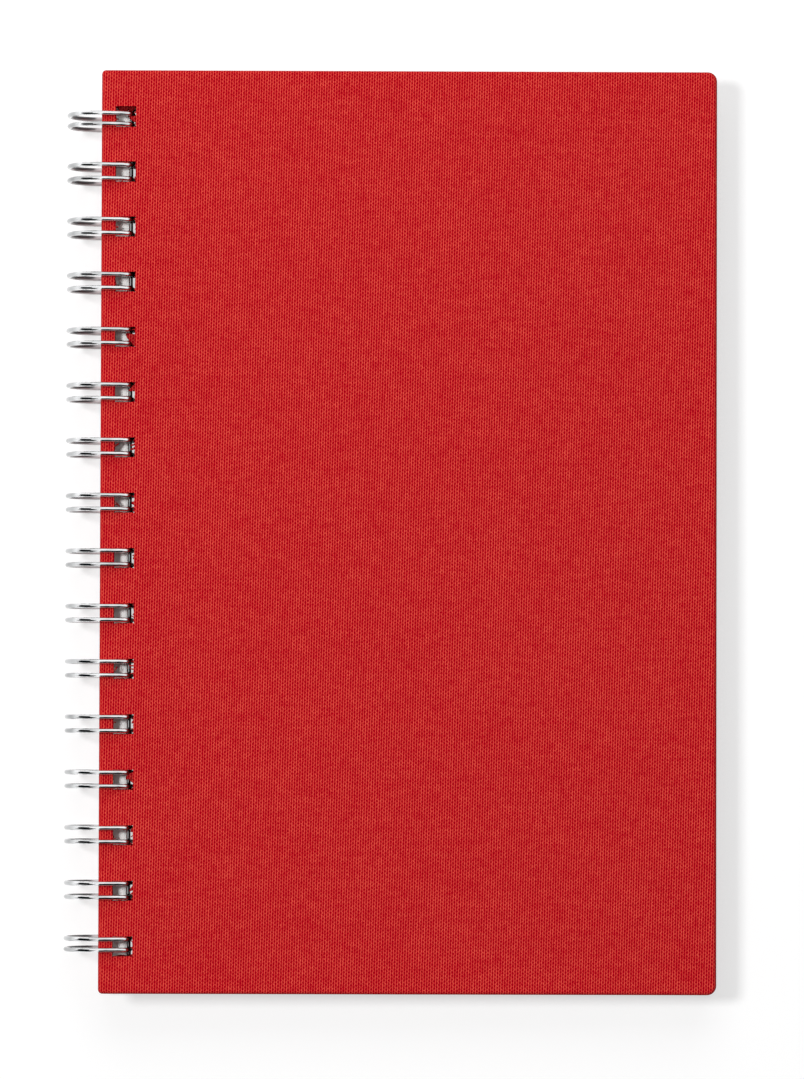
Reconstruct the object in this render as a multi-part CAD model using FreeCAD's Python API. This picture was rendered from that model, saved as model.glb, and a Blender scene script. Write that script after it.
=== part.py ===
import FreeCAD, Part
import math
import os

# A hard-cover notebook bound with twin-loop wire, lying shut on its back cover.
# Millimetres. +X runs from the spine to the fore-edge, +Y to the head, +Z up.
# The origin is under the middle of the whole, at the level of the wire's lowest point.

# Covers: a board wrapped in cloth, with an endpaper pasted inside
COVER_WIDTH = 141.5
COVER_HEIGHT = 212.0
BOARD_THICKNESS = 2.0
SPINE_CORNER_RADIUS = 0.75
FORE_CORNER_RADIUS = 1.9
CLOTH_THICKNESS = 0.25
CLOTH_EDGE_BEVEL = 0.3
TURN_IN = 15.0
ENDPAPER_THICKNESS = 0.15
ENDPAPER_BORDER = 2.0

# Pages: how thick the sheets are together, and how far the covers stand out past them
PAGES_THICKNESS = 6.2
HEAD_OVERHANG = 2.5
FORE_OVERHANG = 3.0

# Punched holes, the same in covers and sheets: margin is from the spine edge to the hole
HOLE_PITCH = 12.7
HOLE_SIZE = 4.8
HOLE_MARGIN = 3.2
LEAST_END_MARGIN = 8.0

# Binding wire: the ring's axis lies a little outside the covers' spine edges
WIRE_DIAMETER = 1.05
AXIS_TO_SPINE_EDGE = 0.25
BAR_BEND_RADIUS = 0.9
END_STRAND_INSET = 0.7
END_STUB = 1.5

# The wire has a six-sided section, and its curves are short straight runs, so that it stays light to
# draw: each run turns this many degrees from the last, in the loops and in the tight bends
LOOP_RUN = 18.0
BEND_RUN = 30.0

# The top sheets dip under the wire's seam and rise again over this length
DIP_MARGIN = 1.0
DIP_LENGTH = 18.0

# Clearances
COVER_CLEARANCE = 0.05
RING_CLEARANCE = 0.15
STRAND_CLEARANCE = 0.29
SEAM_CLEARANCE = 0.12
TIP_CLEARANCE = 0.1

# How far a cutting tool runs past what it cuts
OVERRUN = 1.0

# The stack, measured from the ring's axis outwards
inner_face = PAGES_THICKNESS / 2 + COVER_CLEARANCE
turn_in_face = inner_face + ENDPAPER_THICKNESS
board_inner_face = turn_in_face + CLOTH_THICKNESS
board_outer_face = board_inner_face + BOARD_THICKNESS
outer_face = board_outer_face + CLOTH_THICKNESS

# The ring just clears the outer edge of the covers' holes on the spine side
cover_hole_start = AXIS_TO_SPINE_EDGE + HOLE_MARGIN
hole_edge_radius = math.hypot(cover_hole_start, outer_face)
ring_inner_radius = hole_edge_radius + RING_CLEARANCE
ring_radius = ring_inner_radius + WIRE_DIAMETER / 2

# From the middle of the wire to a corner of its section, and from the axis to a corner of the ring
wire_reach = WIRE_DIAMETER / 2 / math.cos(math.radians(30))
ring_reach = ring_radius + WIRE_DIAMETER / 2 / math.cos(math.radians(LOOP_RUN / 2))

# Where the ring's axis and the covers lie
overall_width = ring_reach + AXIS_TO_SPINE_EDGE + COVER_WIDTH
axis_x = ring_reach - overall_width / 2
axis_z = ring_reach
spine_x = axis_x + AXIS_TO_SPINE_EDGE
fore_x = spine_x + COVER_WIDTH

# Holes along the spine, as many as the height takes
hole_count = 1 + math.floor((COVER_HEIGHT - 2 * LEAST_END_MARGIN) / HOLE_PITCH)
hole_places = [(i - (hole_count - 1) / 2) * HOLE_PITCH for i in range(hole_count)]

# The seam: bars and loop tips meet here, between the front cover and the sheets
strand_spacing = HOLE_SIZE - WIRE_DIAMETER - 2 * STRAND_CLEARANCE
bar_height = inner_face - SEAM_CLEARANCE - wire_reach
bar_radius = math.hypot(ring_radius, BAR_BEND_RADIUS)
loop_start = math.asin(bar_height / bar_radius) - math.atan(BAR_BEND_RADIUS / ring_radius)
dip_face = bar_height - wire_reach - SEAM_CLEARANCE


# A point by its distance from the ring's axis, to the fore-edge and up
def from_axis(along, y, up):
    return FreeCAD.Vector(axis_x + along, y, axis_z + up)


def radial(angle):
    return FreeCAD.Vector(math.cos(angle), 0, math.sin(angle))


def tangent(angle):
    return FreeCAD.Vector(-math.sin(angle), 0, math.cos(angle))


def ring_point(angle, y):
    return from_axis(0, y, 0) + radial(angle) * ring_radius


# A slab centred on the spine's length, from one height above the axis to another
def slab(start_x, end_x, height, low, high):
    corner = FreeCAD.Vector(start_x, -height / 2, axis_z + low)
    return Part.makeBox(end_x - start_x, height, high - low, corner)


def is_upright(edge):
    return abs(edge.tangentAt(edge.FirstParameter).z) > 0.5


def is_at(edge, x):
    return abs(edge.CenterOfMass.x - x) < 0.001


# A cover's slab, which stands out past the board by the wrap, with its corners rounded in plan
def round_cornered_slab(wrap, low, high):
    inset = CLOTH_THICKNESS - wrap
    block = slab(spine_x + inset, fore_x - inset, COVER_HEIGHT - 2 * inset, low, high)
    for side, radius in ((spine_x + inset, SPINE_CORNER_RADIUS), (fore_x - inset, FORE_CORNER_RADIUS)):
        corners = [edge for edge in block.Edges if is_upright(edge) and is_at(edge, side)]
        block = block.makeFillet(radius + wrap, corners)
    return block


# The punch for the covers: square holes in a row
def cover_punch():
    start = axis_x + cover_hole_start
    low = inner_face - OVERRUN
    high = outer_face + OVERRUN
    holes = []
    for place in hole_places:
        hole = slab(start, start + HOLE_SIZE, HOLE_SIZE, low, high)
        holes.append(hole.translated(FreeCAD.Vector(0, place, 0)))
    return Part.makeCompound(holes)


def cover_board():
    return round_cornered_slab(0, board_inner_face, board_outer_face)


# Cloth round the board on every side, open inside the turn-ins
def cover_cloth(board):
    wrapped = round_cornered_slab(CLOTH_THICKNESS, turn_in_face, outer_face)
    rim = [edge for edge in wrapped.Edges if not is_upright(edge)]
    wrapped = wrapped.makeChamfer(CLOTH_EDGE_BEVEL, rim)
    window = slab(spine_x + TURN_IN, fore_x - TURN_IN, COVER_HEIGHT - 2 * TURN_IN,
                  turn_in_face - OVERRUN, board_inner_face + OVERRUN)
    return wrapped.cut(board).cut(window.cut(board))


# Paper pasted over the turn-ins and, past their edges, down onto the board
def cover_endpaper():
    border = ENDPAPER_BORDER
    over_turn_ins = slab(spine_x + border, fore_x - border, COVER_HEIGHT - 2 * border,
                         inner_face, turn_in_face)
    on_board = slab(spine_x + TURN_IN, fore_x - TURN_IN, COVER_HEIGHT - 2 * TURN_IN,
                    inner_face, board_inner_face)
    inset = TURN_IN + ENDPAPER_THICKNESS
    recess = slab(spine_x + inset, fore_x - inset, COVER_HEIGHT - 2 * inset,
                  inner_face, board_inner_face - ENDPAPER_THICKNESS)
    return over_turn_ins.fuse(on_board).cut(recess).removeSplitter()


# The arc that every edge of the sheets follows, because each sheet hangs on the ring
def sheet_edge(shift, low, high):
    points = []
    for up in (low, (low + high) / 2, high):
        along = math.sqrt(hole_edge_radius ** 2 - up ** 2) + shift
        points.append(from_axis(along, 0, up))
    return Part.Arc(*points).toShape()


# A half of the dip's curve, level at one end
def dip_arc(level_x, level, end_x, end):
    run = abs(end_x - level_x)
    rise = end - level
    radius = (run ** 2 + rise ** 2) / (2 * abs(rise))
    sag = radius - math.sqrt(radius ** 2 - (run / 2) ** 2)
    middle = from_axis((level_x + end_x) / 2, 0, level + math.copysign(sag, rise))
    return Part.Arc(from_axis(level_x, 0, level), middle, from_axis(end_x, 0, end)).toShape()


# The sheets' outline seen along the spine, drawn out over their height
def sheet_block():
    top = PAGES_THICKNESS / 2
    spine_edge = sheet_edge(-HOLE_MARGIN, -top, dip_face)
    fore_shift = fore_x - FORE_OVERHANG - axis_x - hole_edge_radius
    fore_edge = sheet_edge(fore_shift, -top, top)
    dip_start = hole_edge_radius + HOLE_SIZE + DIP_MARGIN
    dip_middle = dip_start + DIP_LENGTH / 2
    dip_end = dip_start + DIP_LENGTH
    half_way = (dip_face + top) / 2
    lower_arc = dip_arc(dip_start, dip_face, dip_middle, half_way)
    upper_arc = dip_arc(dip_end, top, dip_middle, half_way)
    spine_points = [vertex.Point for vertex in spine_edge.Vertexes]
    fore_points = [vertex.Point for vertex in fore_edge.Vertexes]
    edges = [
        spine_edge,
        Part.LineSegment(spine_points[1], from_axis(dip_start, 0, dip_face)).toShape(),
        lower_arc,
        upper_arc,
        Part.LineSegment(from_axis(dip_end, 0, top), fore_points[1]).toShape(),
        fore_edge,
        Part.LineSegment(fore_points[0], spine_points[0]).toShape(),
    ]
    outline = Part.Face(Part.Wire(Part.__sortEdges__(edges)))
    height = COVER_HEIGHT - 2 * HEAD_OVERHANG
    return outline.translated(FreeCAD.Vector(0, -height / 2, 0)).extrude(FreeCAD.Vector(0, height, 0))


# The punch for the sheets, with walls that follow the ring
def sheet_punch():
    low = -PAGES_THICKNESS / 2 - OVERRUN
    high = PAGES_THICKNESS / 2 + OVERRUN
    near = sheet_edge(0, low, high)
    far = sheet_edge(HOLE_SIZE, low, high)
    near_points = [vertex.Point for vertex in near.Vertexes]
    far_points = [vertex.Point for vertex in far.Vertexes]
    edges = [near, far]
    edges += [Part.LineSegment(a, b).toShape() for a, b in zip(near_points, far_points)]
    outline = Part.Face(Part.Wire(Part.__sortEdges__(edges)))
    hole = outline.translated(FreeCAD.Vector(0, -HOLE_SIZE / 2, 0)).extrude(FreeCAD.Vector(0, HOLE_SIZE, 0))
    return Part.makeCompound([hole.translated(FreeCAD.Vector(0, place, 0)) for place in hole_places])


# How far a loop's tip stops short of its start, so that it nests between the bars
def tip_setback(half_spacing):
    side = half_spacing + BAR_BEND_RADIUS
    reach = side + 2 * wire_reach + TIP_CLEARANCE
    return math.sqrt(reach ** 2 - side ** 2)


# One strand's points, from the seam down and right round the ring to the loop's tip
def strand_points(y, tip_angle):
    start = math.degrees(loop_start)
    end = math.degrees(tip_angle) - 360
    least_run = LOOP_RUN / 4
    steps = range(math.floor(start / LOOP_RUN), math.floor(end / LOOP_RUN), -1)
    angles = [step * LOOP_RUN for step in steps]
    angles = [angle for angle in angles if start - angle > least_run and angle - end > least_run]
    return [ring_point(math.radians(angle), y) for angle in [start, *angles, end]]


# Points round a tight bend, from centre + out, turning towards centre + onward
def bend_points(centre, out, onward, angle):
    runs = round(angle / BEND_RUN)
    turns = [math.radians(angle * run / runs) for run in range(runs + 1)]
    return [centre + out * math.cos(turn) + onward * math.sin(turn) for turn in turns]


# A loop's points, from the end of one bar to the start of the next
def loop_points(left, right):
    half = (right - left) / 2
    tip_angle = loop_start + tip_setback(half) / ring_radius
    aside = FreeCAD.Vector(0, BAR_BEND_RADIUS, 0)
    up = tangent(loop_start) * BAR_BEND_RADIUS
    tip_out = FreeCAD.Vector(0, -half, 0)
    tip_down = tangent(tip_angle) * -half
    bend_in = bend_points(ring_point(loop_start, left) - aside, up, aside, 90)
    tip = bend_points(ring_point(tip_angle, left + half), tip_out, tip_down, 180)
    bend_out = bend_points(ring_point(loop_start, right) + aside, aside * -1, up, 90)
    onward = strand_points(left, tip_angle)[1:-1]
    back = strand_points(right, tip_angle)[-2:0:-1]
    return bend_in + onward + tip + back + bend_out


# Six-sided section at the wire's cut end, flat to the ring's axis
def wire_section(centre):
    across = radial(loop_start)
    aside = tangent(loop_start)
    turns = [math.radians(30 + 60 * side) for side in range(7)]
    return Part.makePolygon([centre + (across * math.cos(turn) + aside * math.sin(turn)) * wire_reach
                             for turn in turns])


# One wire from end to end: loops through the holes, with straight bars between them
def binding_wire():
    half = strand_spacing / 2
    loops = [[place - half, place + half] for place in hole_places]
    loops[0][0] += END_STRAND_INSET
    loops[-1][1] -= END_STRAND_INSET
    points = [point for loop in loops for point in loop_points(*loop)]
    stub = FreeCAD.Vector(0, END_STUB, 0)
    points = [points[0] - stub, *points, points[-1] + stub]
    sweep = Part.BRepOffsetAPI.MakePipeShell(Part.makePolygon(points))
    sweep.setTransitionMode(1)
    sweep.add(wire_section(points[0]))
    sweep.build()
    sweep.makeSolid()
    return sweep.shape()


# The back cover is the front one turned over about the plane through the ring's axis
def turned_over(shape):
    return shape.mirror(from_axis(0, 0, 0), FreeCAD.Vector(0, 0, 1))


def build():
    punch = cover_punch()
    board = cover_board()
    front = {
        "board": board.cut(punch),
        "cloth": cover_cloth(board).cut(punch),
        "endpaper": cover_endpaper().cut(punch),
    }
    nodes = {"pages": sheet_block().cut(sheet_punch()), "binding_wire": binding_wire()}
    for name, shape in front.items():
        nodes["front_" + name] = shape
        nodes["back_" + name] = turned_over(shape)
    return nodes


def main():
    os.makedirs("parts", exist_ok=True)
    for name, shape in build().items():
        shape.exportStep("parts/" + name + ".step")
        state = "valid" if shape.isValid() else "not valid"
        print(name, len(shape.Solids), "solid", round(shape.Volume), "mm3", state)


main()
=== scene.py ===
import math
import random

import bmesh
import bpy
from mathutils import Euler, Matrix, Vector


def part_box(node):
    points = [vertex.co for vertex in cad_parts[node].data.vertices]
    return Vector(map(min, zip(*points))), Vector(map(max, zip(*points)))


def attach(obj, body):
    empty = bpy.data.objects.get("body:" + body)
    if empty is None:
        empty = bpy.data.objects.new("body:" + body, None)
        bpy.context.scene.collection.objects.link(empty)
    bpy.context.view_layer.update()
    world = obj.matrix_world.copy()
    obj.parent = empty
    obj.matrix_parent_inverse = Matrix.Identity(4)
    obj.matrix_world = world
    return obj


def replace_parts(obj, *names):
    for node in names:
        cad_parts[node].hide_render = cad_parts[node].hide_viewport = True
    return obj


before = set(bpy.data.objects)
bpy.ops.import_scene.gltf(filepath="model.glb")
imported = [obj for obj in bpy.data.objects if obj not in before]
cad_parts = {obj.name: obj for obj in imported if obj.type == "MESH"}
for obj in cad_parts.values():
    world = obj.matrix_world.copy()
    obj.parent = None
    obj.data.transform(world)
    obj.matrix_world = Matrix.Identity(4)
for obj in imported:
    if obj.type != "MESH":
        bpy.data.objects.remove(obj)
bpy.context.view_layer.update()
mm = 0.001

# What lies nearer than this to a line or level counts as on it
touching = 0.01 * mm

# What the CAD says: where the covers, the sheets and the ring's axis are
coverLow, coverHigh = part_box("front_cloth")
backLow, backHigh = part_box("back_cloth")
pagesLow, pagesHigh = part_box("pages")
wireLow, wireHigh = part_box("binding_wire")
ringReach = (wireHigh.z - wireLow.z) / 2
axis = Vector((wireLow.x + ringReach, 0, wireLow.z + ringReach))
holes = {"count": 16, "pitch": 12.7 * mm, "size": 4.8 * mm, "margin": 3.2 * mm}
holePlaces = [(i - (holes["count"] - 1) / 2) * holes["pitch"] for i in range(holes["count"])]


# Pieces and materials

def clamped(value):
    return min(1, max(0, value))


def addPiece(name, bm, body, material, thickness=0):
    mesh = bpy.data.meshes.new(name)
    bm.to_mesh(mesh)
    bm.free()
    mesh.materials.append(material)
    piece = bpy.data.objects.new(name, mesh)
    bpy.context.collection.objects.link(piece)
    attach(piece, body)
    if thickness:
        shell = piece.modifiers.new("thickness", "SOLIDIFY")
        shell.thickness = thickness
        shell.offset = -1
    return piece


def newMaterial(name):
    material = bpy.data.materials.new(name)
    material.use_nodes = True
    return material, material.node_tree, material.node_tree.nodes["Principled BSDF"]


def put(tree, socket, value):
    if isinstance(value, bpy.types.NodeSocket):
        tree.links.new(value, socket)
    else:
        socket.default_value = value


def filled(tree, node, values):
    for socket, value in zip(node.inputs, values):
        put(tree, socket, value)
    return node.outputs[0]


def calc(tree, operation, *values):
    node = tree.nodes.new("ShaderNodeMath")
    node.operation = operation
    return filled(tree, node, values)


def vectorCalc(tree, operation, *values):
    node = tree.nodes.new("ShaderNodeVectorMath")
    node.operation = operation
    return filled(tree, node, values)


def combined(tree, *values):
    return filled(tree, tree.nodes.new("ShaderNodeCombineXYZ"), values)


def attribute(tree, name):
    node = tree.nodes.new("ShaderNodeAttribute")
    node.attribute_name = name
    return node.outputs["Fac"]


def mapped(tree, vector, scale, turn=0.0):
    node = tree.nodes.new("ShaderNodeMapping")
    node.inputs["Rotation"].default_value = (0, 0, turn)
    node.inputs["Scale"].default_value = scale
    tree.links.new(vector, node.inputs["Vector"])
    return node.outputs["Vector"]


def objectPoint(tree, scale):
    return mapped(tree, tree.nodes.new("ShaderNodeTexCoord").outputs["Object"], scale)


def noise(tree, vector, scale, detail=2.0, roughness=0.5):
    node = tree.nodes.new("ShaderNodeTexNoise")
    node.inputs["Scale"].default_value = scale
    node.inputs["Detail"].default_value = detail
    node.inputs["Roughness"].default_value = roughness
    tree.links.new(vector, node.inputs["Vector"])
    return node.outputs["Fac"]


# A value from low to high, as the given one goes from start to end
def spread(tree, value, low, high, start=0.0, end=1.0):
    node = tree.nodes.new("ShaderNodeMapRange")
    put(tree, node.inputs["Value"], value)
    for name, number in (("From Min", start), ("From Max", end), ("To Min", low), ("To Max", high)):
        node.inputs[name].default_value = number
    return node.outputs["Result"]


def tinted(tree, factor, dark, light):
    node = tree.nodes.new("ShaderNodeMix")
    node.data_type = "RGBA"
    put(tree, node.inputs["Factor"], factor)
    for name, colour in (("A", dark), ("B", light)):
        isSocket = isinstance(colour, bpy.types.NodeSocket)
        put(tree, node.inputs[name], colour if isSocket else (*colour, 1))
    return node.outputs["Result"]


def ramped(tree, factor, stops):
    node = tree.nodes.new("ShaderNodeValToRGB")
    put(tree, node.inputs["Fac"], factor)
    ramp = node.color_ramp
    while len(ramp.elements) < len(stops):
        ramp.elements.new(0.5)
    for element, (place, colour) in zip(ramp.elements, stops):
        element.position = place
        element.color = (*colour, 1)
    return node.outputs["Color"]


def bumped(tree, shader, height, distance):
    node = tree.nodes.new("ShaderNodeBump")
    node.inputs["Distance"].default_value = distance
    tree.links.new(height, node.inputs["Height"])
    tree.links.new(node.outputs["Normal"], shader.inputs["Normal"])


# Book cloth: a plain weave of warp threads along the spine over finer weft, in the piece's own map in mm.
# Warp and weft are the threads' pitches in mm, and each scale, drift or height counts in threads
# The tones follow the weave's relief: painted shade in the gaps and under the warp, painted highlight on the
# thread crowns
weave = {"warp": 0.576, "weft": 0.422, "turn": math.radians(1.2), "bump": 0.10 * mm,
         "wander": 0.34, "wanderScale": 0.45, "sway": 0.13,
         "warpHeight": 0.88, "weftHeight": 0.14, "weftDip": 0.12,
         "threadScale": 1.7, "warpDrift": 0.10, "weftDrift": 0.12, "weftLayer": 7.3,
         "mottleScale": 0.035, "speckScale": 0.9, "speckRelief": 0.15,
         "reliefShadeTone": (-0.31, 1.01), "threadTone": 0.14, "mottleTone": 0.02, "speckTone": 0.10,
         "tones": ((0.0, (0.37, 0.0, 0.008)), (0.5, (0.50, 0.001, 0.012)), (1.0, (0.82, 0.10, 0.064))),
         "paintedClothShadeTone": (0.055, 0.0, 0.002)}


def clothMaterial():
    material, tree, shader = newMaterial("bookCloth")
    uv = tree.nodes.new("ShaderNodeUVMap")
    uv.uv_map = "weave"
    threads = mapped(tree, uv.outputs["UV"], (1 / weave["warp"], 1 / weave["weft"], 1), weave["turn"])
    wander = noise(tree, threads, weave["wanderScale"], 3).node.outputs["Color"]
    centred = vectorCalc(tree, "SUBTRACT", wander, (0.5, 0.5, 0.5))
    moved = vectorCalc(tree, "MULTIPLY_ADD", centred, (weave["wander"], weave["wander"], 0), threads)
    split = tree.nodes.new("ShaderNodeSeparateXYZ")
    tree.links.new(moved, split.inputs[0])
    u, v = split.outputs["X"], split.outputs["Y"]
    warpIndex, weftIndex = calc(tree, "FLOOR", u), calc(tree, "FLOOR", v)

    def crown(place):
        inThread = calc(tree, "MAXIMUM", calc(tree, "MINIMUM", place, 1), 0)
        return calc(tree, "SINE", calc(tree, "MULTIPLY", inThread, math.pi))

    def passing(value, index):
        return calc(tree, "SINE", calc(tree, "MULTIPLY", calc(tree, "ADD", value, index), math.pi))

    # Warp threads sway from side to side, each against its neighbour, so the gaps open and close by turns
    swaying = calc(tree, "MULTIPLY_ADD", passing(v, warpIndex), weave["sway"], calc(tree, "FRACT", u))
    weftOver = calc(tree, "MULTIPLY_ADD", passing(u, weftIndex), -weave["weftDip"], weave["weftHeight"])
    height = calc(tree, "MAXIMUM", calc(tree, "MULTIPLY", crown(swaying), weave["warpHeight"]),
                  calc(tree, "MULTIPLY", crown(calc(tree, "FRACT", v)), weftOver))

    # Each thread is a little darker or paler than the next, and changes slowly along its length
    along = combined(tree, warpIndex, calc(tree, "MULTIPLY", v, weave["warpDrift"]))
    across = combined(tree, calc(tree, "MULTIPLY", u, weave["weftDrift"]), weftIndex, weave["weftLayer"])
    threadTone = calc(tree, "ADD", noise(tree, along, weave["threadScale"], 1),
                      noise(tree, across, weave["threadScale"], 1))
    mottle = noise(tree, threads, weave["mottleScale"], 4, 0.6)
    specks = noise(tree, threads, weave["speckScale"], 2, 0.7)
    # Painted shade and highlight: the colour darkens down into the weave's gaps and pales on the thread
    # crowns
    tone = spread(tree, height, *weave["reliefShadeTone"])
    for value, most, start, end in ((threadTone, weave["threadTone"], 0.6, 1.4),
                                    (mottle, weave["mottleTone"], 0.3, 0.7),
                                    (specks, weave["speckTone"], 0.25, 0.75)):
        tone = calc(tree, "ADD", tone, spread(tree, value, -most, most, start, end))
    # Painted shade: the cloth's colour goes to a near-black red on the lips, flaps and threads in the holes
    colour = tinted(tree, attribute(tree, "paintedClothShade"), ramped(tree, tone, weave["tones"]), weave["paintedClothShadeTone"])
    tree.links.new(colour, shader.inputs["Base Color"])
    tree.links.new(spread(tree, height, 0.95, 0.80), shader.inputs["Roughness"])
    shader.inputs["Specular IOR Level"].default_value = 0.06
    relief = calc(tree, "ADD", height, spread(tree, specks, -weave["speckRelief"], weave["speckRelief"]))
    bumped(tree, shader, relief, weave["bump"])
    return material


# Paper: faint fibres and mottling, and for a block of sheets a little change from sheet to sheet
def paperMaterial(name, dark, light, fibre=1.0, layered=0.0):
    material, tree, shader = newMaterial(name)
    fibres = noise(tree, objectPoint(tree, (1, 1, 1)), 900, 5, 0.7)
    clouds = noise(tree, objectPoint(tree, (1, 1, 1)), 45, 3, 0.6)
    layers = noise(tree, objectPoint(tree, (0.5, 0.5, 2600)), 1, 2, 0.6)
    tone = calc(tree, "ADD", spread(tree, fibres, 0, 0.6, 0.3, 0.7), spread(tree, clouds, 0, 0.4, 0.3, 0.7))
    tone = calc(tree, "ADD", tone, spread(tree, layers, -layered, layered, 0.3, 0.7))
    tree.links.new(tinted(tree, tone, dark, light), shader.inputs["Base Color"])
    tree.links.new(spread(tree, fibres, 0.82, 0.94), shader.inputs["Roughness"])
    shader.inputs["Specular IOR Level"].default_value = 0.3
    bumped(tree, shader, fibres, 0.02 * mm * fibre)
    return material


# Grey board: pulp with darker and paler specks, and layers at its cut edges
def boardMaterial():
    material, tree, shader = newMaterial("greyBoard")
    pulp = noise(tree, objectPoint(tree, (1, 1, 1)), 700, 6, 0.75)
    layers = noise(tree, objectPoint(tree, (60, 60, 2600)), 1, 3, 0.6)
    tone = calc(tree, "ADD", spread(tree, pulp, 0, 0.65, 0.3, 0.7), spread(tree, layers, 0, 0.35, 0.3, 0.7))
    tree.links.new(tinted(tree, tone, (0.12, 0.11, 0.095), (0.33, 0.31, 0.28)), shader.inputs["Base Color"])
    shader.inputs["Roughness"].default_value = 0.93
    shader.inputs["Specular IOR Level"].default_value = 0.2
    bumped(tree, shader, calc(tree, "ADD", pulp, layers), 0.06 * mm)
    return material


# Nickel-plated wire: bright, with faint drawing lines and duller patches. Painted shade and painted dark
# reflections darken its colour and make it less metallic on the inside of the ring's lower half
def wireMaterial():
    material, tree, shader = newMaterial("nickelWire")
    patches = noise(tree, objectPoint(tree, (1, 1, 1)), 190, 2, 0.5)
    lines = noise(tree, objectPoint(tree, (90, 5200, 90)), 1, 3, 0.6)
    # Painted shade: the colour darkens with the wire's painted shade attribute
    bright = calc(tree, "MULTIPLY", spread(tree, patches, 0.6, 1.0, 0.25, 0.6),
                  spread(tree, attribute(tree, "paintedShade"), 1.0, 0.0))
    colour = tinted(tree, bright, (0.026, 0.032, 0.036), (0.91, 0.92, 0.93))
    tree.links.new(colour, shader.inputs["Base Color"])
    tree.links.new(spread(tree, patches, 0.05, 0.11, 0.3, 0.7), shader.inputs["Roughness"])
    # Where painted shade lies on the inside of the lower half, the wire is made less metallic
    tree.links.new(spread(tree, attribute(tree, "paintedShadeMatte"), 1.0, 0.15), shader.inputs["Metallic"])
    bumped(tree, shader, lines, 0.0015 * mm)
    return material


materials = {
    "cloth": clothMaterial(),
    "board": boardMaterial(),
    "endpaper": paperMaterial("endpaper", (0.70, 0.69, 0.65), (0.84, 0.83, 0.79)),
    "sheets": paperMaterial("sheetPaper", (0.87, 0.87, 0.86), (0.95, 0.95, 0.94), 0.6, 1.2),
    "wire": wireMaterial(),
}
for side in ("front", "back"):
    for kind in ("board", "endpaper"):
        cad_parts[f"{side}_{kind}"].data.materials[0] = materials[kind]
print("materials made")


# Covers: a skin of cloth over each board, turned in at the edges and torn where the holes are punched

cover = {"thickness": 0.25 * mm, "turnIn": 15 * mm, "rim": 0.8 * mm, "spineCorner": 1.0 * mm,
         "foreCorner": 2.15 * mm, "mapRim": 1.2 * mm}
# The lips that hang into the holes are darkened with painted shade
lips = {"cuts": 9, "foldDrop": 0.10 * mm, "foldShare": 0.45, "drop": (1.1, 1.9), "share": (0.1, 0.5),
        "paintedClothShade": 0.7, "spineRoom": 0.14 * mm, "foreRoom": 0.3 * mm, "headRoom": 0.06 * mm,
        "tailRoom": 0.24 * mm}
boardOuter = coverHigh.z - cover["thickness"]
holeStart = coverLow.x + holes["margin"]
holeEnd = holeStart + holes["size"]
holeMiddle = (holeStart + holeEnd) / 2

# Flaps and threads that the punch left: row from the head, side of the hole, place along the side, width,
# length, lean along the side and drop at the end, in mm
tatters = [
    (0, "fore", -0.6, 1.7, 2.1, 0.7, 0.7), (2, "fore", 1.7, 0.8, 0.7, 0.1, 0.5),
    (4, "fore", -0.7, 2.8, 2.6, 1.4, 0.6), (4, "fore", -1.6, 1.2, 1.2, 0.2, 0.9),
    (5, "fore", 1.3, 1.6, 1.7, -0.8, 0.6), (6, "fore", 0.9, 0.5, 1.4, -0.3, 0.4),
    (6, "fore", 0.1, 0.6, 1.5, -0.5, 0.7), (7, "fore", -0.1, 1.2, 1.0, 0.2, 0.4),
    (7, "fore", -1.0, 0.5, 0.8, 0.1, 0.3), (8, "fore", 0.0, 0.9, 0.6, 0.0, 0.3),
    (9, "fore", 0.2, 0.6, 0.6, -0.4, 0.5), (9, "fore", -1.0, 0.3, 0.9, 0.6, 0.4),
    (10, "fore", 0.8, 0.35, 1.5, 0.1, 0.3), (10, "fore", 0.0, 0.4, 1.3, 0.2, 0.5),
    (10, "fore", -0.8, 0.4, 1.1, -0.2, 0.4), (11, "fore", 1.2, 0.8, 0.8, -0.9, 0.6),
    (12, "fore", 0.9, 1.9, 2.3, -0.6, 0.6), (12, "fore", -0.3, 1.0, 1.3, 0.7, 0.4),
    (14, "fore", 0.9, 1.3, 1.1, -0.9, 0.5), (14, "fore", -0.2, 0.6, 0.9, -0.6, 0.4),
    (0, "head", -0.9, 3.4, 1.5, 0.3, 1.1), (0, "head", 1.2, 2.4, 1.4, -0.2, 0.9),
    (15, "tail", -0.4, 3.6, 0.7, 0.2, 1.2), (1, "fore", 1.6, 0.5, 0.5, 0.0, 0.4),
    (3, "fore", -1.9, 0.9, 0.6, 0.3, 0.6), (5, "fore", 0.4, 0.7, 1.3, 0.5, 0.5),
    (1, "fore", -1.9, 0.9, 0.5, 0.1, 0.6), (2, "fore", -1.8, 1.0, 0.5, -0.1, 0.6),
    (13, "fore", 1.5, 1.4, 0.9, -0.5, 0.7), (14, "fore", -1.9, 0.8, 0.6, 0.2, 0.6),
    (2, "spine", 0.0, 0.5, 1.0, 0.0, 0.2), (3, "spine", -0.3, 0.7, 0.5, -0.2, 0.3),
    (6, "spine", 0.2, 0.5, 1.3, 0.7, 0.8), (7, "spine", 0.6, 0.3, 1.6, -1.8, 0.9),
    (10, "spine", -0.9, 0.3, 1.2, 1.5, 0.5), (13, "spine", -0.2, 1.2, 0.5, 0.0, 0.5),
]
# The flaps are darkened with painted shade, those that hang lower more
tatter = {"step": 0.35 * mm, "taper": 0.8, "taperPower": 1.3, "curlPower": 1.6, "sway": 0.1,
          "endFrom": 0.9, "endLength": (0.72, 1.05), "sideJitter": 0.06 * mm, "curlJitter": 0.05 * mm,
          "ripple": 0.12 * mm, "rippleTurn": 5, "overlap": 0.1 * mm, "rootDepth": 0.6,
          "sunk": 0.9 * mm, "paintedClothShade": 0.45, "sunkPaintedClothShade": 0.75}

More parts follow.
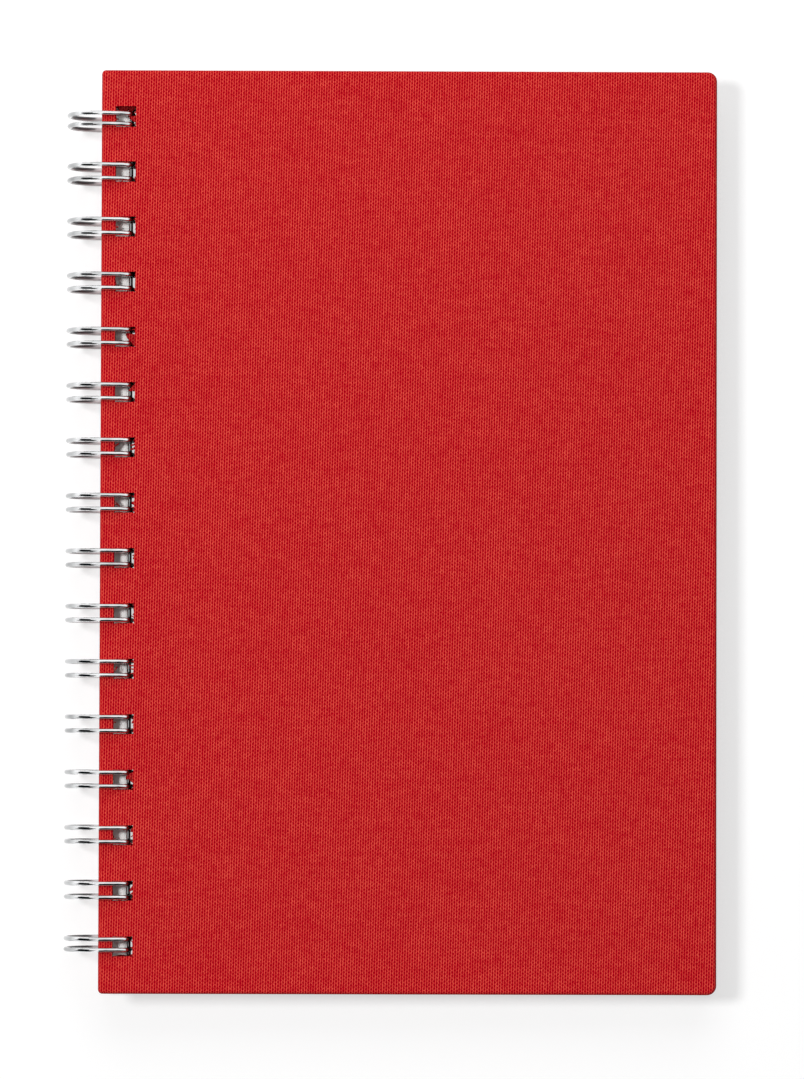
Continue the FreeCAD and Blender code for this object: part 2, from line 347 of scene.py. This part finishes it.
# Short threads in every hole, with lengths and widths in mm. Most hang from the fore side, and all are
# darkened a little with painted shade
threadEnds = {"count": 5, "sides": ((1, 0), (-1, 0), (-1, 0), (-1, 0), (0, 1), (0, -1)), "along": 0.9,
              "length": (0.3, 0.8), "endLength": (0.15, 0.30), "width": (0.1, 0.22), "lean": 0.3,
              "drop": (0.1, 0.6), "steps": 3, "paintedClothShade": 0.4}


# The loops sit a little towards the head in their holes, less so near it
loopPlace = {"shift": 0.2 * mm, "less": 0.38 * mm, "from": 45 * mm, "over": 50 * mm}


def loopShift(y):
    nearHead = max(0, (y - loopPlace["from"]) / loopPlace["over"])
    return loopPlace["shift"] - loopPlace["less"] * nearHead ** 2


def cutAcross(bm, co, no):
    geom = bm.verts[:] + bm.edges[:] + bm.faces[:]
    bmesh.ops.bisect_plane(bm, geom=geom, dist=1e-7, plane_co=co, plane_no=no)


def cutHoleLines(bm, startX, endX):
    for x in (startX, endX):
        cutAcross(bm, (x, 0, 0), (1, 0, 0))
    for place in holePlaces:
        for side in (-1, 1):
            cutAcross(bm, (0, place + side * holes["size"] / 2, 0), (0, 1, 0))


def inHole(point, startX, endX, slack=0.0):
    if not startX - slack < point.x < endX + slack:
        return False
    nearest = min(abs(point.y - place) for place in holePlaces)
    return nearest < holes["size"] / 2 + slack


# A closed skin with round corners and a round rim, in the outer shape of the cover
def coverSkin():
    bm = bmesh.new()
    size = coverHigh - coverLow
    middle = (coverHigh + coverLow) / 2
    bmesh.ops.create_cube(bm, size=1, matrix=Matrix.Translation(middle) @ Matrix.Diagonal((*size, 1)))
    for atSpine, radius in ((True, cover["spineCorner"]), (False, cover["foreCorner"])):
        corners = [e for e in bm.edges if abs(e.verts[0].co.z - e.verts[1].co.z) > mm
                   and (e.verts[0].co.x < coverLow.x + touching if atSpine
                        else e.verts[0].co.x > coverHigh.x - touching)]
        bmesh.ops.bevel(bm, geom=corners, offset=radius, segments=8, profile=0.5, affect="EDGES", material=-1)
    rim = [e for e in bm.edges if abs(e.verts[0].co.z - e.verts[1].co.z) < touching]
    bmesh.ops.bevel(bm, geom=rim, offset=cover["rim"], segments=6, profile=0.5, affect="EDGES", material=-1)
    return bm


def punchedEdges(bm):
    return [e for e in bm.edges if e.is_boundary and min(v.co.z for v in e.verts) > boardOuter
            and inHole((e.verts[0].co + e.verts[1].co) / 2, holeStart, holeEnd, touching)]


# How far a lip may reach into its hole before it meets the wire, by the side that it hangs from
def lipRoom(reach, place):
    if reach.x:
        return lips["spineRoom"] if reach.x > 0 else lips["foreRoom"]
    return lips["tailRoom"] + loopShift(place) if reach.y > 0 else lips["headRoom"]


# The punched edge: the cloth folds over the board's edge and hangs into the hole in a ragged lip, which is
# darkened with painted shade
def raggedLips(bm, rng):
    layer = bm.verts.layers.float["paintedClothShade"]
    bmesh.ops.subdivide_edges(bm, edges=punchedEdges(bm), cuts=lips["cuts"])
    edges = punchedEdges(bm)
    for fold in (True, False):
        made = bmesh.ops.extrude_edge_only(bm, edges=edges)["geom"]
        edges = [g for g in made if isinstance(g, bmesh.types.BMEdge) and g.is_boundary]
        for vert in [g for g in made if isinstance(g, bmesh.types.BMVert)]:
            place = min(holePlaces, key=lambda p: abs(p - vert.co.y))
            inward = Vector((holeMiddle - vert.co.x, place - vert.co.y, 0))
            if abs(inward.x) > abs(inward.y):
                reach = Vector((math.copysign(1, inward.x), 0, 0))
            else:
                reach = Vector((0, math.copysign(1, inward.y), 0))
            room = lipRoom(reach, place)
            if fold:
                vert.co += reach * room * lips["foldShare"] - Vector((0, 0, lips["foldDrop"]))
            else:
                drop = rng.uniform(*lips["drop"]) * mm
                # Painted shade on the hanging lip
                vert[layer] = lips["paintedClothShade"]
                vert.co += reach * rng.uniform(*lips["share"]) * room - Vector((0, 0, drop))


# A flap or thread of cloth that hangs into a hole, held at its root, narrowing and curling down, darkened
# with painted shade
def addTatter(bm, rng, root, inward, width, length, lean, drop, steps, paintedClothShade):
    layer = bm.verts.layers.float["paintedClothShade"]
    across = Vector((-inward.y, inward.x, 0))
    wide = max(2, round(width / tatter["step"]))
    grid = bmesh.ops.create_grid(bm, x_segments=steps, y_segments=wide, size=0.5)["verts"]
    sway = rng.uniform(-tatter["sway"], tatter["sway"]) * length
    for vert in grid:
        along, side = vert.co.x + 0.5, vert.co.y
        ragged = rng.uniform(*tatter["endLength"]) if along > tatter["endFrom"] else 1
        narrow = 1 - tatter["taper"] * along ** tatter["taperPower"]
        shift = side * width * narrow + lean * along + sway * math.sin(along * math.pi)
        shift += rng.uniform(-1, 1) * tatter["sideJitter"] * along
        curl = -drop * along ** tatter["curlPower"] + rng.uniform(-1, 1) * tatter["curlJitter"] * along
        curl += tatter["ripple"] * math.sin(side * tatter["rippleTurn"]) * along
        vert.co = root + inward * (along * length * ragged) + across * shift + Vector((0, 0, curl))
        vert[layer] = paintedClothShade


# The listed flaps and threads. Those at a hole's head or tail hang lower and are darkened with more painted
# shade
def listedTatters(bm, rng, top):
    sides = {"fore": (-1, 0), "spine": (1, 0), "head": (0, -1), "tail": (0, 1)}
    for row, side, place, width, length, lean, drop in tatters:
        inward = Vector((*sides[side], 0))
        middle = Vector((holeMiddle, holePlaces[holes["count"] - 1 - row], top))
        aside = Vector((abs(inward.y), abs(inward.x), 0))
        root = middle - inward * (holes["size"] / 2 + tatter["overlap"]) + aside * place * mm
        sign = -1 if side in ("fore", "tail") else 1
        paintedClothShade = tatter["paintedClothShade"]
        if inward.y:
            root.z -= tatter["sunk"]
            paintedClothShade = tatter["sunkPaintedClothShade"]
        addTatter(bm, rng, root, inward, width * mm, length * mm, sign * lean * mm, drop * mm, 6, paintedClothShade)


def seededThreads(bm, rng, top):
    half = holes["size"] / 2
    for place in holePlaces:
        for _ in range(threadEnds["count"]):
            side = rng.choice(threadEnds["sides"])
            inward = Vector((*side, 0))
            along = rng.uniform(-threadEnds["along"], threadEnds["along"]) * half
            middle = Vector((holeMiddle, place, top))
            root = middle - inward * half + Vector((-inward.y, inward.x, 0)) * along
            length = rng.uniform(*threadEnds["endLength" if side[1] else "length"])
            width = rng.uniform(*threadEnds["width"])
            lean = rng.uniform(-threadEnds["lean"], threadEnds["lean"])
            drop = rng.uniform(*threadEnds["drop"])
            addTatter(bm, rng, root, inward, width * mm, length * mm, lean * mm, drop * mm,
                      threadEnds["steps"], threadEnds["paintedClothShade"])


# The weave's map, in mm, running on round the rim
def weaveMap(bm):
    layer = bm.loops.layers.uv.new("weave")
    near = cover["mapRim"]
    for face in bm.faces:
        for loop in face.loops:
            co = loop.vert.co
            depth = coverHigh.z - co.z
            u = co.x + depth * (1 if co.x > coverHigh.x - near else -1 if co.x < coverLow.x + near else 0)
            v = co.y + depth * (1 if co.y > coverHigh.y - near else -1 if co.y < coverLow.y + near else 0)
            loop[layer].uv = (u / mm, v / mm)


# Only the front cover has the listed flaps, and the back cover is the front one turned over
def coverCloth(name, body, seed, turned):
    rng = random.Random(seed)
    bm = coverSkin()
    cutHoleLines(bm, holeStart, holeEnd)
    for x in (coverLow.x + cover["turnIn"], coverHigh.x - cover["turnIn"]):
        cutAcross(bm, (x, 0, 0), (1, 0, 0))
    for y in (coverLow.y + cover["turnIn"], coverHigh.y - cover["turnIn"]):
        cutAcross(bm, (0, y, 0), (0, 1, 0))
    gone = []
    for face in bm.faces:
        middle = face.calc_center_median()
        inWindow = (middle.z < boardOuter - mm
                    and coverLow.x + cover["turnIn"] < middle.x < coverHigh.x - cover["turnIn"]
                    and abs(middle.y) < coverHigh.y - cover["turnIn"])
        if abs(face.normal.z) > 0.9 and (inWindow or inHole(middle, holeStart, holeEnd)):
            gone.append(face)
    bmesh.ops.delete(bm, geom=gone, context="FACES")
    bm.verts.layers.float.new("paintedClothShade")
    raggedLips(bm, rng)
    bmesh.ops.recalc_face_normals(bm, faces=bm.faces[:])
    top = coverHigh.z - cover["thickness"] * tatter["rootDepth"]
    if not turned:
        listedTatters(bm, rng, top)
    seededThreads(bm, rng, top)
    weaveMap(bm)
    for face in bm.faces:
        face.smooth = abs(face.normal.z) < 0.999
    if turned:
        for vert in bm.verts:
            vert.co.z = 2 * axis.z - vert.co.z
        bmesh.ops.reverse_faces(bm, faces=bm.faces[:])
    return addPiece(name, bm, body, materials["cloth"], cover["thickness"])


frontCloth = coverCloth("front_cloth_skin", "front_cover", 11, False)
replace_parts(frontCloth, "front_cloth")
backCloth = coverCloth("back_cloth_skin", "back_cover", 12, True)
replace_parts(backCloth, "back_cloth")
print("covers made")


# Sheets: each is thin and hangs on the ring. The upper ones dip under the wire's seam and spring up a little
# between it and their spine edge. The spreads are how far each one's edges vary, in mm

sheets = {"count": 62, "thickness": 0.07 * mm, "edgeRadius": 6.7485 * mm, "dipLow": 9.653 * mm,
          "dipStart": 12.55 * mm, "dipLength": 18 * mm, "dipCuts": 14, "lift": 1.25 * mm,
          "liftEnd": 7.4 * mm, "liftLength": 1.2 * mm, "liftCuts": 4, "lean": 0.4 * mm, "leanPower": 6,
          "foreSpread": (-0.16, 0.04), "endSpread": (-0.12, 0.02)}


def sheetLevel(share, alongAxis):
    rise = clamped((alongAxis - sheets["dipStart"]) / sheets["dipLength"])
    rise = rise * rise * (3 - 2 * rise)
    lift = clamped((sheets["liftEnd"] - alongAxis) / sheets["liftLength"])
    top = sheets["dipLow"] + (pagesHigh.z - sheets["dipLow"]) * rise
    top += sheets["lift"] * math.sin(lift * math.pi / 2)
    return pagesLow.z + share * (top - pagesLow.z)


def sheetTemplate():
    bm = bmesh.new()
    start = axis.x + sheets["edgeRadius"]
    spineEdge = start - holes["margin"]
    width = pagesHigh.x - spineEdge
    height = pagesHigh.y - pagesLow.y
    place = Matrix.Translation((spineEdge + width / 2, 0, 0)) @ Matrix.Diagonal((width, height, 1, 1))
    bmesh.ops.create_grid(bm, x_segments=1, y_segments=1, size=0.5, matrix=place)
    cutHoleLines(bm, start, start + holes["size"])
    for step in range(sheets["dipCuts"] + 1):
        x = axis.x + sheets["dipStart"] + sheets["dipLength"] * step / sheets["dipCuts"]
        cutAcross(bm, (x, 0, 0), (1, 0, 0))
    for step in range(1, sheets["liftCuts"] + 1):
        x = axis.x + sheets["liftEnd"] - sheets["liftLength"] * step / sheets["liftCuts"]
        cutAcross(bm, (x, 0, 0), (1, 0, 0))
    gone = [f for f in bm.faces if inHole(f.calc_center_median(), start, start + holes["size"])]
    bmesh.ops.delete(bm, geom=gone, context="FACES")
    return bm


def sheetBlock():
    rng = random.Random(5)
    template = sheetTemplate()
    mesh = bpy.data.meshes.new("sheetTemplate")
    template.to_mesh(mesh)
    template.free()
    bm = bmesh.new()
    foreEdge = max(v.co.x for v in mesh.vertices)
    for index in range(sheets["count"]):
        before = len(bm.verts)
        bm.from_mesh(mesh)
        bm.verts.ensure_lookup_table()
        share = (index + 0.5) / sheets["count"]
        fore, head, tail = (rng.uniform(*sheets[name]) for name in ("foreSpread", "endSpread", "endSpread"))
        for vert in bm.verts[before:]:
            level = sheetLevel(share, vert.co.x - axis.x)
            up = level - axis.z
            if vert.co.x > foreEdge - touching:
                vert.co.x += fore * mm
            if vert.co.y > pagesHigh.y - touching:
                vert.co.y += head * mm
            if vert.co.y < pagesLow.y + touching:
                vert.co.y -= tail * mm
            vert.co.x += math.sqrt(sheets["edgeRadius"] ** 2 - up ** 2) - sheets["edgeRadius"]
            vert.co.x += sheets["lean"] * share ** sheets["leanPower"]
            vert.co.z = level + sheets["thickness"] / 2
    bpy.data.meshes.remove(mesh)
    bmesh.ops.recalc_face_normals(bm, faces=bm.faces[:])
    for face in bm.faces:
        if face.normal.z < 0:
            face.normal_flip()
    return addPiece("sheets_block", bm, "block", materials["sheets"], sheets["thickness"])


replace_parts(sheetBlock(), "pages")
print("sheets made")


# Binding wire: one round wire in double loops, with a short bar from each loop to the next. The bulge makes
# the ring squarer where the strands cross the front cover and turn down into its holes. Its start and span
# are in degrees round the ring from the sheets' side, and so are the steps

wire = {"radius": 0.525 * mm, "ring": 7.4235 * mm, "bend": 0.9 * mm, "spacing": 3.17 * mm,
        "endInset": 0.7 * mm, "stub": 1.5 * mm, "barUp": 2.424 * mm, "tipGap": 0.1 * mm,
        "tipDown": Vector((-0.3, 0, -0.954)), "tipShift": Vector((0.25, 0, -0.2)) * mm,
        "bulge": 1.35 * mm, "bulgeStart": 8, "bulgeSpan": 66, "ringStep": 6, "bendStep": 15}
wire["reach"] = wire["radius"] / math.cos(math.radians(30))
barStart = (math.asin(wire["barUp"] / math.hypot(wire["ring"], wire["bend"]))
            - math.atan(wire["bend"] / wire["ring"]))


def radial(angle):
    return Vector((math.cos(angle), 0, math.sin(angle)))


def onward(angle):
    return Vector((-math.sin(angle), 0, math.cos(angle)))


def ringPoint(angle, y):
    share = clamped((math.degrees(angle) % 360 - wire["bulgeStart"]) / wire["bulgeSpan"])
    bulge = wire["bulge"] * math.sin(share * math.pi) ** 2
    return Vector((axis.x, y, axis.z)) + radial(angle) * (wire["ring"] + bulge)


def arcPoints(centre, out, turning, degrees):
    runs = round(degrees / wire["bendStep"])
    angles = [math.radians(degrees * run / runs) for run in range(runs + 1)]
    return [centre + out * math.cos(a) + turning * math.sin(a) for a in angles]


# The loop's end is a short bar with a tight bend at each side
def tipPoints(tip, left, right):
    half, bend, down = (right - left) / 2, wire["bend"], wire["tipDown"]
    centre = down * (half - bend) + wire["tipShift"]
    points = [ringPoint(tip, left)]
    points += arcPoints(ringPoint(tip, left + bend) + centre, Vector((0, -bend, 0)), down * bend, 90)
    points += arcPoints(ringPoint(tip, right - bend) + centre, down * bend, Vector((0, bend, 0)), 90)
    return [*points, ringPoint(tip, right)]


# From a bar round the ring to the loop's end, and back to the next bar
def loopPoints(left, right):
    half = (right - left) / 2
    side = half + wire["bend"]
    reach = side + 2 * wire["reach"] + wire["tipGap"]
    tip = barStart + math.sqrt(reach ** 2 - side ** 2) / wire["ring"]
    runs = round((360 - math.degrees(tip - barStart)) / wire["ringStep"])
    turns = [barStart - (math.tau - tip + barStart) * run / runs for run in range(1, runs)]
    aside, up = Vector((0, wire["bend"], 0)), onward(barStart) * wire["bend"]
    points = arcPoints(ringPoint(barStart, left) - aside, up, aside, 90)
    points += [ringPoint(angle, left) for angle in turns]
    points += tipPoints(tip, left, right)
    points += [ringPoint(angle, right) for angle in reversed(turns)]
    points += arcPoints(ringPoint(barStart, right) + aside, aside * -1, up, 90)
    return points


# Painted shade and painted dark reflections on the wire, by the place from the ring's axis in mm: dark at the
# loops' ends, a little at the spine, and on the inside of the ring's lower half, where the wire is also made
# less metallic so that the painted shade shows
wireShadePainting = {"lowRun": 1.5, "tipUp": 1.9, "tipAlong": 6.6, "tipRun": 0.5, "spineAlong": -5.0, "spineRun": 3,
        "spineMost": 0.36, "underAlong": -1.2, "underRun": 2.2, "underGain": 2.2, "underStart": 0.2,
        "sideGain": 1.7, "sideStart": 0.85, "most": 0.92, "matteGain": 2, "matteStart": 0.3}


def wireShadePaintingAt(vert):
    place = (vert.co - axis) / mm
    inside = -vert.normal.dot(Vector((place.x, 0, place.z)).normalized())
    low = clamped(-place.z / wireShadePainting["lowRun"])
    atTip = (place.x - wireShadePainting["tipAlong"]) / wireShadePainting["tipRun"] if place.z > wireShadePainting["tipUp"] else 0
    atSpine = min(wireShadePainting["spineMost"], (wireShadePainting["spineAlong"] - place.x) / wireShadePainting["spineRun"])
    under = inside * wireShadePainting["underGain"] + wireShadePainting["underStart"]
    under *= low * clamped((wireShadePainting["underAlong"] - place.x) / wireShadePainting["underRun"])
    under *= clamped(wireShadePainting["sideStart"] + vert.normal.y * wireShadePainting["sideGain"])
    paintedShadeMatte = clamped(inside * wireShadePainting["matteGain"] + wireShadePainting["matteStart"]) * low
    return min(wireShadePainting["most"], max(0, atTip, atSpine, under)), paintedShadeMatte


def bindingWire():
    half = wire["spacing"] / 2
    loops = [[p - half + loopShift(p), p + half + loopShift(p)] for p in holePlaces]
    loops[0][0] += wire["endInset"]
    loops[-1][1] -= wire["endInset"]
    points = [point for loop in loops for point in loopPoints(*loop)]
    stub = Vector((0, wire["stub"], 0))
    points = [points[0] - stub, *points, points[-1] + stub]
    curve = bpy.data.curves.new("wirePath", "CURVE")
    curve.dimensions = "3D"
    curve.bevel_depth = wire["radius"]
    curve.bevel_resolution = 5
    curve.use_fill_caps = True
    spline = curve.splines.new("POLY")
    spline.points.add(len(points) - 1)
    for slot, point in zip(spline.points, points):
        slot.co = (*point, 1)
    holder = bpy.data.objects.new("wirePath", curve)
    bpy.context.collection.objects.link(holder)
    bpy.context.view_layer.update()
    made = bpy.data.meshes.new_from_object(holder.evaluated_get(bpy.context.evaluated_depsgraph_get()))
    bm = bmesh.new()
    bm.from_mesh(made)
    bmesh.ops.remove_doubles(bm, verts=bm.verts[:], dist=1e-6)
    bmesh.ops.recalc_face_normals(bm, faces=bm.faces[:])
    bm.normal_update()
    # Painted shade and painted dark reflections, stored in the wire's own attributes
    layers = [bm.verts.layers.float.new(name) for name in ("paintedShade", "paintedShadeMatte")]
    for vert in bm.verts:
        for layer, value in zip(layers, wireShadePaintingAt(vert)):
            vert[layer] = value
    for face in bm.faces:
        face.smooth = len(face.verts) < 5
    bpy.data.objects.remove(holder)
    bpy.data.meshes.remove(made)
    return addPiece("wire_loops", bm, "block", materials["wire"])


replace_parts(bindingWire(), "binding_wire")
print("wire made")


# Floor: it meets the ring's lowest point and the back cover's fore-edge, which stands a little higher. It is
# pale to the camera and in reflections, and sheds less light on the notebook

ground = {"grey": 0.395, "glow": 0.63, "half": 2.5, "gap": 0.02 * mm}


# One for rays that see the room itself, and nought for light that falls from it
def seenItself(tree):
    path = tree.nodes.new("ShaderNodeLightPath")
    seen = calc(tree, "MAXIMUM", path.outputs["Is Camera Ray"], path.outputs["Is Glossy Ray"])
    return calc(tree, "MAXIMUM", seen, path.outputs["Is Transmission Ray"])


def floorMaterial():
    material, tree, shader = newMaterial("floor")
    shader.inputs["Base Color"].default_value = (ground["grey"], ground["grey"], ground["grey"], 1)
    shader.inputs["Roughness"].default_value = 0.95
    shader.inputs["Specular IOR Level"].default_value = 0.0
    shader.inputs["Emission Color"].default_value = (1, 1, 1, 1)
    glow = calc(tree, "MULTIPLY", seenItself(tree), ground["glow"])
    tree.links.new(glow, shader.inputs["Emission Strength"])
    return material


def addFloor():
    slope = math.atan2(backLow.z - wireLow.z, backHigh.x - axis.x)
    bm = bmesh.new()
    bmesh.ops.create_grid(bm, x_segments=1, y_segments=1, size=ground["half"])
    foot = Matrix.Translation((axis.x, 0, wireLow.z - ground["gap"]))
    bmesh.ops.transform(bm, verts=bm.verts[:], matrix=foot @ Matrix.Rotation(-slope, 4, "Y"))
    mesh = bpy.data.meshes.new("floor")
    bm.to_mesh(mesh)
    bm.free()
    mesh.materials.append(floorMaterial())
    floor = bpy.data.objects.new("floor", mesh)
    bpy.context.collection.objects.link(floor)


addFloor()
print("floor made")


# Light: a lamp at the upper left and a weak one at the head, in an even white room with dark panels, which
# only the wire shows. The panels are given by their spans in azimuth and elevation, in degrees

room = {"white": 1.0, "shed": 0.15, "panelReach": 0.55, "panelColour": (0.010, 0.014, 0.016, 1)}
panels = {
    "panel_tail_left": ((205, 250), (2, 60)),
    "panel_tail_right": ((264, 328), (0, 73)),
    "panel_spine": ((150, 215), (18, 56)),
    "panel_fore": ((-48, 20), (0, 12)),
    "panel_head": ((64, 116), (0, 14)),
}


def addLamp(name, place, size, power):
    light = bpy.data.lights.new(name, "AREA")
    light.shape = "SQUARE"
    light.size = size
    light.energy = power
    lamp = bpy.data.objects.new(name, light)
    lamp.location = place
    lamp.rotation_euler = (Vector((0, 0, 0)) - Vector(place)).to_track_quat("-Z", "Y").to_euler()
    lamp.visible_glossy = False
    bpy.context.collection.objects.link(lamp)


def addPanel(name, azimuths, elevations, material):
    bm = bmesh.new()
    bmesh.ops.create_grid(bm, x_segments=16, y_segments=8, size=0.5)
    for vert in bm.verts:
        azimuth = math.radians(azimuths[0] + (azimuths[1] - azimuths[0]) * (vert.co.x + 0.5))
        elevation = math.radians(elevations[0] + (elevations[1] - elevations[0]) * (vert.co.y + 0.5))
        level = math.cos(elevation)
        out = Vector((math.cos(azimuth) * level, math.sin(azimuth) * level, math.sin(elevation)))
        vert.co = out * room["panelReach"]
    mesh = bpy.data.meshes.new(name)
    bm.to_mesh(mesh)
    bm.free()
    mesh.materials.append(material)
    panel = bpy.data.objects.new(name, mesh)
    bpy.context.collection.objects.link(panel)
    panel.visible_camera = False
    panel.visible_diffuse = False
    panel.visible_shadow = False


def addPanels():
    material, _, shader = newMaterial("darkPanel")
    shader.inputs["Base Color"].default_value = room["panelColour"]
    shader.inputs["Roughness"].default_value = 0.9
    shader.inputs["Specular IOR Level"].default_value = 0.0
    for name, (azimuths, elevations) in panels.items():
        addPanel(name, azimuths, elevations, material)


def addWorld():
    world = bpy.data.worlds.new("room")
    world.use_nodes = True
    tree = world.node_tree
    background = tree.nodes["Background"]
    background.inputs["Color"].default_value = (1, 1, 1, 1)
    strength = calc(tree, "MULTIPLY_ADD", seenItself(tree), room["white"] - room["shed"], room["shed"])
    tree.links.new(strength, background.inputs["Strength"])
    bpy.context.scene.world = world


addLamp("key", (-1.16, 0.285, 2.06), 0.45, 40.2)
addLamp("head", (0, 0.80, 0.72), 0.8, 5.2)
addPanels()
addWorld()
bpy.context.scene.view_settings.view_transform = "Standard"
print("light made")

# Camera: almost straight above, a little towards the tail
camera = bpy.data.cameras.new("camera")
camera.sensor_fit = "VERTICAL"
camera.sensor_height = 36
camera.lens = 184.466
camera.clip_end = 50
eye = bpy.data.objects.new("camera", camera)
eye.location = Vector((-5.322, -43.751, 1280.936)) * mm
eye.rotation_euler = Euler([math.radians(a) for a in (1.8934, -0.3645, 0.1621)], "XYZ")
bpy.context.collection.objects.link(eye)
bpy.context.scene.camera = eye
